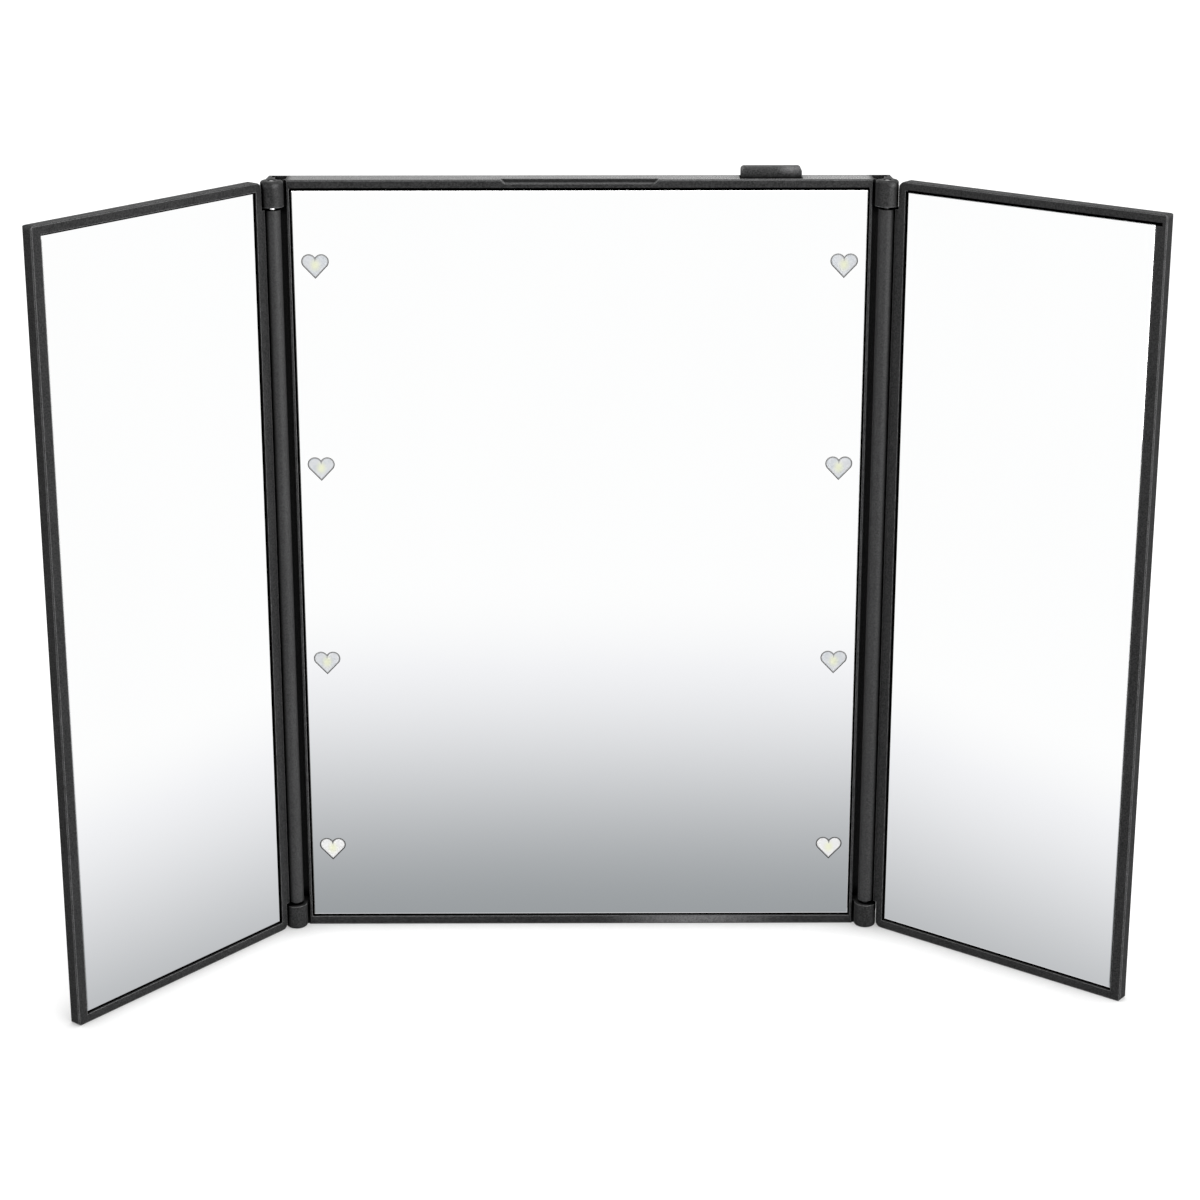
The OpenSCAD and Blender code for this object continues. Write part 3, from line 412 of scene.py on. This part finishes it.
def moulded_plastic(name, tone=1.0, dusty_sheen_top=None, shaded_foot=None, barrel=None, highlight_spots=(), lintel=None):
    """Black moulded plastic with an eroded grain and worn edges, which also carry painted highlights.

    The top with dust and painted sheen is given by its half width and height, the painted shade at the foot
    by two heights, a paler barrel by its axis and radius, and each painted highlight by its place and its
    radius and strength.
    The lintel is a glass node and its front: the frame's lowest edge above it is painted as dark as the
    shaded gap there.
    """
    material, tree, place = new_material(name)
    parts = split(tree, place)
    normal = own_normal(tree)
    rounded, edge = worn_edges(tree, 0.3 * MM)
    grain = noise(tree, place, GRAIN_SIZE)
    speck = noise(tree, place, SPECK_SIZE)
    rub = noise(tree, place, RUB_SIZE, detail=4.0)
    upward = spread(tree, split(tree, normal)[2], 0.7, 0.95)
    dust_and_sheen = 0.0
    if dusty_sheen_top is not None:
        dust_and_sheen = calc(tree, "MULTIPLY", upward, under_dusty_sheen_top(tree, parts, dusty_sheen_top, 0.5 * MM, 0.3 * MM))
    base, relief = plastic_body(tree, place, grain, tone, barrel)
    # Dust with painted sheen: lighter specks on faces that look up, lighter towards the right as painted
    # light
    dust_and_sheen_cover = calc(tree, "MULTIPLY", dust_and_sheen, spread(tree, speck, 0.42, 0.64, 0.05, 1.0))
    dust_and_sheen_colour = blend_colours(tree, spread(tree, parts[0], *DUST_AND_SHEEN_SPAN), DUST_AND_SHEEN_LEFT, DUST_AND_SHEEN_RIGHT)
    base = blend_colours(tree, dust_and_sheen_cover, base, dust_and_sheen_colour)
    # Worn edges, which are partly a painted highlight, and the painted highlight spots
    base = blend_colours(tree, wear_and_highlight_share(tree, place, edge, grain, rub, highlight_spots), base, PLASTIC_WEAR_AND_SHEEN)
    outside_painted_shade = plastic_outside_painted_shade(tree, parts, normal, dusty_sheen_top, shaded_foot, lintel)
    polish = calc(tree, "MULTIPLY", dust_and_sheen, vary(tree, speck, 0.22, 0.1))
    dull = calc(tree, "SUBTRACT", upward, dust_and_sheen)
    gloss = calc(tree, "MULTIPLY_ADD", dull, -0.8 * PLASTIC_GLOSS, PLASTIC_GLOSS)
    finish_material(tree, {
        # Painted shade: base colour and gloss go to black in gaps, at the foot and on the lintel
        "Base Color": blend_colours(tree, outside_painted_shade, grey(0.0), base),
        "Roughness": calc(tree, "SUBTRACT", vary(tree, rub, 0.36, 0.46), polish),
        "Specular IOR Level": calc(tree, "MULTIPLY", outside_painted_shade, gloss),
        "Normal": bump(tree, grain, 0.02 * MM, relief, rounded),
    })
    return material


# Glass and lights

def mirror_glass(name, front, rim):
    """Silvered glass with a clear front and bevel, a ground edge and a grey painted back.

    Between the two heights of its rim it carries a painted reflection of the dark frame in front of it, and
    its ground edge carries painted shade in gaps.
    """
    material, tree, place = new_material(name)
    facing = vector_calc(tree, "DOT_PRODUCT", own_normal(tree), front)
    low, high = rim
    # Painted reflection of the dark frame: the silver turns dark near the rim where other surfaces are close
    framed = between(tree, split(tree, place)[2], (low, low + 0.5 * MM), (high - 0.5 * MM, high))
    gap_shade = calc(tree, "SUBTRACT", 1.0, shade_in_gaps(tree, 0.6 * MM, closed=0.7, clear=0.8))
    painted_frame_reflection = calc(tree, "MULTIPLY", framed, gap_shade)
    silver = calc(tree, "SUBTRACT", spread(tree, facing, 0.3, 0.5), painted_frame_reflection, clamp=True)
    tint = noise(tree, place, 30 * MM, detail=5.0, stretch=(1.0, 1.0, 0.35))
    tint = blend_colours(tree, tint, SILVER_DARK, SILVER_LIGHT)
    side = blend_colours(tree, noise(tree, place, 0.2 * MM), GROUND_DARK, GROUND_LIGHT)
    side = blend_colours(tree, spread(tree, facing, -0.95, -0.9, 1.0, 0.0), side, GLASS_BACK)
    # Painted shade on the ground edge in gaps
    unshaded_edge = calc(tree, "SUBTRACT", shade_in_gaps(tree, 2 * MM), painted_frame_reflection, clamp=True)
    side = blend_colours(tree, unshaded_edge, grey(0.0), side)
    finish_material(tree, {
        "Base Color": blend_colours(tree, silver, side, tint),
        "Metallic": silver,
        "Roughness": spread(tree, silver, 0.0, 1.0, 0.42, 0.0),
        "Specular IOR Level": 0.0,
    })
    return material


def light_places():
    """The lights' distance from the middle, the lowest one's height and their pitch."""
    low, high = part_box("heart_window_right_1")
    next_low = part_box("heart_window_right_2")[0]
    return (low[0] + high[0]) / 2, (low[2] + high[2]) / 2, next_low[2] - low[2]


def from_nearest_light(tree, parts, lights):
    """Offsets across and up from the middle of the nearest light."""
    middle_x, first_z, pitch = lights
    across = calc(tree, "SUBTRACT", calc(tree, "ABSOLUTE", parts[0]), middle_x)
    up = calc(tree, "WRAP", calc(tree, "SUBTRACT", parts[2], first_z), pitch / 2, -pitch / 2)
    return across, up


def heart_depth(tree, across, up):
    """How far inside a heart's outline a place lies, from its offsets to the heart's middle."""
    sine, cosine = math.sin(HEART_ANGLE), math.cos(HEART_ANGLE)
    tip = (HEART_LOBE + HEART_SPREAD * cosine) / sine
    lift = (tip - HEART_LOBE) / 2
    x = calc(tree, "SUBTRACT", calc(tree, "ABSOLUTE", across), HEART_SPREAD)
    z = calc(tree, "SUBTRACT", up, lift)
    in_lobe = calc(tree, "SUBTRACT", HEART_LOBE, distance(tree, x, z))
    off_edge = calc(tree, "SUBTRACT", calc(tree, "MULTIPLY", x, cosine), calc(tree, "MULTIPLY", z, sine))
    along_edge = calc(tree, "ADD", calc(tree, "MULTIPLY", x, sine), calc(tree, "MULTIPLY", z, cosine))
    in_point = calc(tree, "SUBTRACT", HEART_LOBE, off_edge)
    low = calc(tree, "MULTIPLY", calc(tree, "LESS_THAN", along_edge, 0.0), calc(tree, "LESS_THAN", z, 0.0))
    return add(tree, "ShaderNodeMix", {0: low, 2: in_lobe, 3: in_point}, data_type="FLOAT").outputs[0]


def heart_window(lights):
    """Frosted window: pale grey-blue with a darker rim and the light's yellow spot behind it.

    The lowest window of each side is whiter and has the darkest rim.
    """
    material, tree, place = new_material("heart_window")
    parts = split(tree, place)
    across, up = from_nearest_light(tree, parts, lights)
    first_z, pitch = lights[1:]
    raised = spread(tree, parts[2], first_z + 0.3 * pitch, first_z + 0.7 * pitch)
    frost = noise(tree, place, 0.5 * MM, detail=4.0)
    tone = noise(tree, place, 1.6 * MM, detail=2.0)
    fill = blend_colours(tree, contrast(tree, tone), FROST_DARK, FROST_LIGHT)
    fill = blend_colours(tree, spread(tree, frost, 0.45, 0.8, 0.0, 0.45), fill, grey(0.8))
    fill = blend_colours(tree, raised, grey(0.84), fill)
    above_light = calc(tree, "MULTIPLY", calc(tree, "SUBTRACT", up, 0.25 * MM), 0.8)
    from_light = distance(tree, across, above_light)
    spot = spread(tree, from_light, 0.1 * MM, 1.6 * MM, 0.75, 0.0, smooth=True)
    fill = blend_colours(tree, spot, fill, SPOT_YELLOW)
    depth = heart_depth(tree, across, up)
    rim = spread(tree, depth, 0.05 * MM, 0.34 * MM, 1.0, 0.0, smooth=True)
    rim_colour = blend_colours(tree, raised, grey(0.1), grey(0.27))
    finish_material(tree, {
        "Base Color": blend_colours(tree, rim, fill, rim_colour),
        "Roughness": vary(tree, frost, 0.3, 0.5),
        "Specular IOR Level": 0.3,
        "Normal": bump(tree, frost, 0.02 * MM, 0.3),
    })
    return material


def light_package(lights):
    """White moulded package with a pale yellow phosphor cup."""
    material, tree, place = new_material("light_package")
    from_light = distance(tree, *from_nearest_light(tree, split(tree, place), lights))
    cup = spread(tree, from_light, 1.0 * MM, 1.12 * MM, 1.0, 0.0)
    speck = noise(tree, place, 0.12 * MM, detail=2.0)
    phosphor = blend_colours(tree, speck, PHOSPHOR_DARK, PHOSPHOR_LIGHT)
    case = blend_colours(tree, speck, PACKAGE_DARK, PACKAGE_LIGHT)
    finish_material(tree, {
        "Base Color": blend_colours(tree, cup, case, phosphor),
        "Roughness": vary(tree, speck, 0.35, 0.55),
        "Normal": bump(tree, speck, 0.01 * MM, 0.4),
    })
    return material


# Metal and plain finishes

def speckled(name, dark, light, size, rough, metallic=0.0):
    """Plain finish whose colour, gloss and surface vary between two ends."""
    material, tree, place = new_material(name)
    fine = noise(tree, place, size, detail=4.0)
    broad = noise(tree, place, 12 * size, detail=2.0)
    mixed = calc(tree, "ADD", calc(tree, "MULTIPLY", fine, 0.6), calc(tree, "MULTIPLY", broad, 0.4))
    rounded, edge = worn_edges(tree, 0.1 * MM)
    base = blend_colours(tree, contrast(tree, mixed), dark, light)
    lighter = (*(min(1.0, part * 1.35 + 0.01) for part in light[:3]), 1.0)
    base = blend_colours(tree, calc(tree, "MULTIPLY", edge, 0.6), base, lighter)
    if metallic:
        base = shaded_metal(tree, base)
    finish_material(tree, {
        "Base Color": base,
        "Metallic": metallic,
        "Roughness": vary(tree, fine, *rough),
        "Normal": bump(tree, fine, 0.01 * MM, 0.5, rounded),
    })
    return material


def pin_steel(name, ends, shaded_middle=True):
    """Drawn steel wire with cut ends at two heights, between which it is dark with painted shade unless left
    bare.
    """
    material, tree, place = new_material(name)
    drawn = noise(tree, place, 0.15 * MM, detail=4.0, stretch=(1.0, 1.0, 0.1))
    nick = noise(tree, place, 0.3 * MM, detail=2.0)
    base = blend_colours(tree, drawn, grey(0.78), grey(0.88))
    if shaded_middle:
        middle, half = (ends[0] + ends[1]) / 2, (ends[1] - ends[0]) / 2
        from_middle = calc(tree, "ABSOLUTE", calc(tree, "SUBTRACT", split(tree, place)[2], middle))
        # Painted shade between the pin's ends
        pin_shade = spread(tree, from_middle, half - 0.8 * MM, half - 0.3 * MM, 1.0, 0.0)
        base = blend_colours(tree, pin_shade, base, grey(0.03))
    base = blend_colours(tree, spread(tree, nick, 0.6, 0.68), base, grey(0.1))
    finish_material(tree, {
        "Base Color": base,
        "Metallic": 1.0,
        "Roughness": vary(tree, drawn, 0.14, 0.28),
        "Normal": bump(tree, drawn, 0.01 * MM, 0.5),
    })
    return material


def wrapped_cell(low_z, high_z):
    """Battery cell in a copper and black wrapper with bare steel ends."""
    material, tree, place = new_material("wrapped_cell")
    scuff = noise(tree, place, 0.7 * MM, detail=5.0, stretch=(1.0, 1.0, 0.25))
    share = spread(tree, split(tree, place)[2], low_z, high_z)
    wrap = blend_colours(tree, calc(tree, "GREATER_THAN", share, WRAP_BLACK_SHARE), WRAP_BLACK, WRAP_COPPER)
    wrap = blend_colours(tree, spread(tree, scuff, 0.5, 0.8, 0.0, 0.35), wrap, WRAP_SCUFFED)
    upright = calc(tree, "ABSOLUTE", split(tree, own_normal(tree))[2])
    steel = spread(tree, upright, 0.5, 0.6)
    finish_material(tree, {
        "Base Color": blend_colours(tree, steel, wrap, shaded_metal(tree, CELL_STEEL)),
        "Metallic": steel,
        "Roughness": vary(tree, scuff, 0.25, 0.4),
        "Coat Weight": 0.3,
        "Normal": bump(tree, scuff, 0.01 * MM, 0.3),
    })
    return material


# Dressing of the nodes

def heights(node):
    """A node's lowest and highest height."""
    low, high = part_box(node)
    return low[2], high[2]


def joint_row(name):
    """A joint's row in the record."""
    return next(row for row in frame["record"]["behaviour"]["joints"] if row["name"] == name)


def wing_front(joint_name):
    """Direction that a wing's glass faces at rest, from the hinge's range: it lies flat at the low end."""
    joint = joint_row(joint_name)
    turn = math.radians(-joint["range_deg"][0]) * joint["axis"][2]
    return (math.sin(turn), -math.cos(turn), 0.0)


def wing_plastic(name, joint_name, glass=None):
    """A wing's plastic with the paler barrel about its hinge and painted shade on the edge above a given
    glass.
    """
    lintel = None if glass is None else (glass, wing_front(joint_name))
    return moulded_plastic(name, barrel=(joint_row(joint_name)["pos_m"], BARREL_RADIUS), lintel=lintel)


def knuckle_shoulder(joint_name, turn):
    """Place near the top of a knuckle, turned about its hinge from straight ahead."""
    x, y, _ = joint_row(joint_name)["pos_m"]
    turn = math.radians(turn)
    z = heights("centre_frame")[1] - SHOULDER_DROP
    return (x + KNUCKLE_RADIUS * math.sin(turn), y - KNUCKLE_RADIUS * math.cos(turn), z)


def centre_frame_plastic():
    """The centre frame's plastic: dust and painted sheen on top, and painted highlights at the knuckles and
    on the lower border.
    """
    half_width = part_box("centre_mirror")[1][0]
    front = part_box("centre_frame")[0][1]
    highlight_spots = [(knuckle_shoulder(joint, turn), SHOULDER_HIGHLIGHT) for joint, turn in SHOULDER_TURNS]
    highlight_spots.append(((BORDER_HIGHLIGHT_AT[0], front, BORDER_HIGHLIGHT_AT[1]), BORDER_HIGHLIGHT))
    return moulded_plastic(
        "dusty_sheen_plastic", dusty_sheen_top=(half_width, heights("centre_frame")[1]), highlight_spots=highlight_spots,
        lintel=("centre_mirror", CENTRE_FRONT),
    )


def button_plastic():
    """The button's plastic: a lighter tone, painted shade where it enters the frame and a painted highlight
    at its right end.
    """
    low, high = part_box("power_button")
    highlight_spots = [((high[0] - BUTTON_HIGHLIGHT_INSET, low[1], high[2]), BUTTON_HIGHLIGHT)]
    # Painted shade on the button's front, darker towards the frame
    shaded_foot = (heights("centre_frame")[1], high[2] - 1 * MM)
    return moulded_plastic("button_plastic", tone=BUTTON_TONE, shaded_foot=shaded_foot, highlight_spots=highlight_spots)


def finishes_by_slot():
    """The finish of each material slot."""
    lights = light_places()
    return {
        "shell": moulded_plastic("moulded_plastic"),
        "tape": speckled("foam_tape", grey(0.012), grey(0.022), 0.2 * MM, (0.8, 0.95)),
        "window": heart_window(lights),
        "led": light_package(lights),
        "circuit_board": speckled(
            "solder_mask", (0.74, 0.76, 0.73, 1.0), (0.82, 0.83, 0.8, 1.0), 0.4 * MM, (0.3, 0.45)
        ),
        "resistor": speckled("chip_ceramic", grey(0.02), grey(0.035), 0.1 * MM, (0.4, 0.6)),
        "switch_case": speckled("switch_case", grey(0.022), grey(0.035), 0.15 * MM, (0.4, 0.55)),
        "plunger": speckled(
            "plunger", (0.76, 0.76, 0.73, 1.0), (0.84, 0.84, 0.81, 1.0), 0.2 * MM, (0.35, 0.5)
        ),
        "cell": wrapped_cell(*heights("battery_cell_1")),
        "plated_steel": speckled(
            "plated_steel", (0.58, 0.58, 0.56, 1.0), (0.7, 0.7, 0.68, 1.0), 0.15 * MM, (0.22, 0.36),
            metallic=1.0,
        ),
        "red_wire": speckled(
            "red_insulation", (0.42, 0.02, 0.015, 1.0), (0.55, 0.035, 0.022, 1.0), 0.3 * MM, (0.35, 0.5)
        ),
        "black_wire": speckled("black_insulation", grey(0.015), grey(0.026), 0.3 * MM, (0.35, 0.5)),
        "screw_steel": speckled(
            "screw_steel", (0.22, 0.22, 0.23, 1.0), (0.34, 0.34, 0.35, 1.0), 0.12 * MM, (0.25, 0.42),
            metallic=1.0,
        ),
    }


def finishes_by_node():
    """The finishes of the pieces that have one of their own, by their place or their painted light and shade.
    """
    glass_low, glass_high = heights("centre_mirror")
    whole_rim = (glass_low + 1 * MM, glass_high + 1 * MM)
    open_topped_rim = (glass_low + 1 * MM, glass_high - 0.5 * MM)
    left_front, right_front = wing_front("left_wing_hinge"), wing_front("right_wing_hinge")
    top_ends, bottom_ends = heights("hinge_pin_left_top"), heights("hinge_pin_left_bottom")
    bottom_pin = pin_steel("shaded_bottom_pin", bottom_ends)
    return {
        "centre_frame": centre_frame_plastic(),
        "power_button": button_plastic(),
        "left_wing_frame": wing_plastic("left_wing_plastic", "left_wing_hinge"),
        "right_wing_frame": wing_plastic("right_wing_plastic", "right_wing_hinge", "right_wing_mirror"),
        # The top left pin keeps bright steel, and the other pins have painted shade
        "hinge_pin_left_top": pin_steel("bright_pin", top_ends, shaded_middle=False),
        "hinge_pin_right_top": pin_steel("shaded_top_pin", top_ends),
        "hinge_pin_left_bottom": bottom_pin,
        "hinge_pin_right_bottom": bottom_pin,
        "centre_mirror": mirror_glass("centre_mirror_glass", CENTRE_FRONT, whole_rim),
        "left_wing_mirror": mirror_glass("left_mirror_glass", left_front, open_topped_rim),
        "right_wing_mirror": mirror_glass("right_mirror_glass", right_front, whole_rim),
    }


def dress_all():
    """Gives every node its own finish or else its slot's."""
    by_slot = finishes_by_slot()
    by_node = finishes_by_node()
    for row in frame["record"]["subparts"]:
        node, slot = row["node"], row["material_slot"]
        materials = frame["nodes"][node].data.materials
        materials.clear()
        materials.append(by_node[node] if node in by_node else by_slot[slot])


def hide_from_mirrors():
    """Leaves the pieces out of reflections, as the photograph's mirrors show only the bare studio."""
    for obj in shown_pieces():
        obj.visible_glossy = False


# Studio

def background_share(tree):
    """1 for the rays that see the background: the camera's own, and those in gloss and through glass."""
    path = add(tree, "ShaderNodeLightPath")
    seen = calc(tree, "MAXIMUM", path.outputs["Is Camera Ray"], path.outputs["Is Glossy Ray"])
    return calc(tree, "MAXIMUM", seen, path.outputs["Is Transmission Ray"])


def room_greyness(tree, right, back, up):
    """How grey the room is in a direction: white above, grey from below the horizon, thinner far down."""
    side = spread(tree, calc(tree, "ABSOLUTE", right), *SIDE_FROM, smooth=True)
    off_line = calc(tree, "ADD", back, calc(tree, "MULTIPLY_ADD", right, *SIDE_LINE))
    side_start = calc(tree, "MULTIPLY_ADD", off_line, SIDE_LEAN, SIDE_STARTS)
    side_start = spread(tree, side_start, *SIDE_LIMITS, *SIDE_LIMITS)
    later = calc(tree, "MULTIPLY", side, calc(tree, "SUBTRACT", side_start, GREY_STARTS))
    start = calc(tree, "ADD", GREY_STARTS, later)
    depth = calc(tree, "MULTIPLY_ADD", side, SIDE_DEPTH - GREY_DEPTH, GREY_DEPTH)
    power = calc(tree, "MULTIPLY_ADD", side, SIDE_POWER - GREY_POWER, GREY_POWER)
    below = calc(tree, "DIVIDE", calc(tree, "SUBTRACT", start, up), depth)
    below = calc(tree, "POWER", calc(tree, "MAXIMUM", below, 0.0), power)
    thinner = spread(tree, up, LOW_STARTS - LOW_DEPTH, LOW_STARTS, LOW_SHARE, 1.0, smooth=True)
    return calc(tree, "MULTIPLY", spread(tree, below, 0.0, 1.0, smooth=True), thinner)


def dim_share(tree, right, back, up):
    """1 in the dim part of the room."""
    backward = spread(tree, calc(tree, "MULTIPLY_ADD", right, DIM_SLANT, back), *DIM_FROM)
    return calc(tree, "MULTIPLY", backward, between(tree, up, DIM_LOW_END, DIM_HIGH_END))


def make_world():
    """White room whose lower part turns grey, as the mirrors show it, and plain light for the rest."""
    world = bpy.data.worlds.new("studio")
    bpy.context.scene.world = world
    world.use_nodes = True
    tree = world.node_tree
    tree.nodes.clear()
    direction = split(tree, add(tree, "ShaderNodeTexCoord").outputs["Generated"])
    greyness = room_greyness(tree, *direction)
    pale = blend_colours(tree, spread(tree, greyness, 0.0, PALE_AT), ROOM_WHITE, ROOM_PALE)
    room = blend_colours(tree, greyness, pale, ROOM_GREY)
    room = blend_colours(tree, dim_share(tree, *direction), room, grey(DIM_LEVEL))
    is_camera = add(tree, "ShaderNodeLightPath").outputs["Is Camera Ray"]
    seen = blend_colours(tree, is_camera, room, ROOM_WHITE)
    strength = spread(tree, background_share(tree), 0.0, 1.0, ROOM_LIGHT, 1.0)
    background = add(tree, "ShaderNodeBackground", {"Color": seen, "Strength": strength})
    add(tree, "ShaderNodeOutputWorld", {"Surface": background.outputs[0]})


def floor_glow(tree, place):
    """Strength of the floor's glow: it grows away from the mirror and is weakest where something stands."""
    parts = split(tree, place)
    behind = spread(tree, parts[1], *GROWS_BEHIND, 0.0, GLOW_BEHIND - GLOW_NEAR)
    from_middle = calc(tree, "ABSOLUTE", parts[0])
    beside = spread(tree, from_middle, *GROWS_BESIDE, 0.0, GLOW_FAR - GLOW_NEAR)
    around = spread(tree, vector_calc(tree, "LENGTH", place), *GROWS_AROUND, GLOW_NEAR, GLOW_FAR)
    strength = calc(tree, "ADD", calc(tree, "ADD", behind, beside), around)
    strength = calc(tree, "MINIMUM", strength, GLOW_FAR)
    # Painted contact shadow: the glow is cut where other surfaces are near
    contact = spread(tree, openness(tree, 12 * MM), 0.5, 0.95, GLOW_UNDER, 1.0)
    return calc(tree, "MULTIPLY", strength, contact)


def floor_paper():
    """Paper that looks white and keeps the soft shadow under the mirror, but throws back plain light."""
    material, tree, place = new_material("floor_paper")
    fibre = noise(tree, place, 1.5 * MM, detail=4.0)
    paper = blend_colours(tree, fibre, grey(PAPER_SEEN - PAPER_FIBRE), grey(PAPER_SEEN + PAPER_FIBRE))
    matt = add(tree, "ShaderNodeBsdfDiffuse", {"Color": paper})
    glow = add(tree, "ShaderNodeEmission", {"Color": ROOM_WHITE, "Strength": floor_glow(tree, place)})
    seen = add(tree, "ShaderNodeAddShader", {0: matt.outputs[0], 1: glow.outputs[0]})
    plain = add(tree, "ShaderNodeBsdfDiffuse", {"Color": grey(PAPER_BOUNCE)})
    mixed = add(
        tree, "ShaderNodeMixShader", {0: background_share(tree), 1: plain.outputs[0], 2: seen.outputs[0]}
    )
    add(tree, "ShaderNodeOutputMaterial", {"Surface": mixed.outputs[0]})
    return material


def make_floor():
    """Pale floor under the mirror."""
    bpy.ops.mesh.primitive_plane_add(size=FLOOR_SIZE)
    floor = bpy.context.object
    floor.name = "studio_floor"
    floor.visible_glossy = False
    floor.data.materials.append(floor_paper())
    floor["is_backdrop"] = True


def make_lights():
    """Square area lights that face one point of the mirror."""
    for name, place, side, power in LAMPS:
        light = bpy.data.lights.new(name, "AREA")
        light.size = side
        light.energy = power
        lamp = bpy.data.objects.new(name, light)
        bpy.context.scene.collection.objects.link(lamp)
        lamp.location = place
        lamp.rotation_euler = (Vector(LAMPS_FACE) - Vector(place)).to_track_quat("-Z", "Y").to_euler()


def make_camera():
    """The photograph's camera."""
    data = bpy.data.cameras.new("camera")
    data.sensor_width = CAMERA_SENSOR
    data.lens = CAMERA_LENS
    data.shift_x, data.shift_y = CAMERA_SHIFT
    data.clip_start, data.clip_end = CAMERA_CLIP
    camera = bpy.data.objects.new("camera", data)
    bpy.context.scene.collection.objects.link(camera)
    camera.location = CAMERA_AT
    turn = Matrix.Rotation(math.radians(-CAMERA_TURN), 3, "Z")
    tilt = Matrix.Rotation(math.radians(90.0 - CAMERA_DOWN), 3, "X")
    roll = Matrix.Rotation(math.radians(-CAMERA_ROLL), 3, "Z")
    camera.rotation_euler = (turn @ tilt @ roll).to_euler()
    bpy.context.scene.camera = camera


make_camera()
make_world()
make_floor()
make_lights()
dress_all()
hide_from_mirrors()
bpy.context.scene.view_settings.view_transform = "Standard"
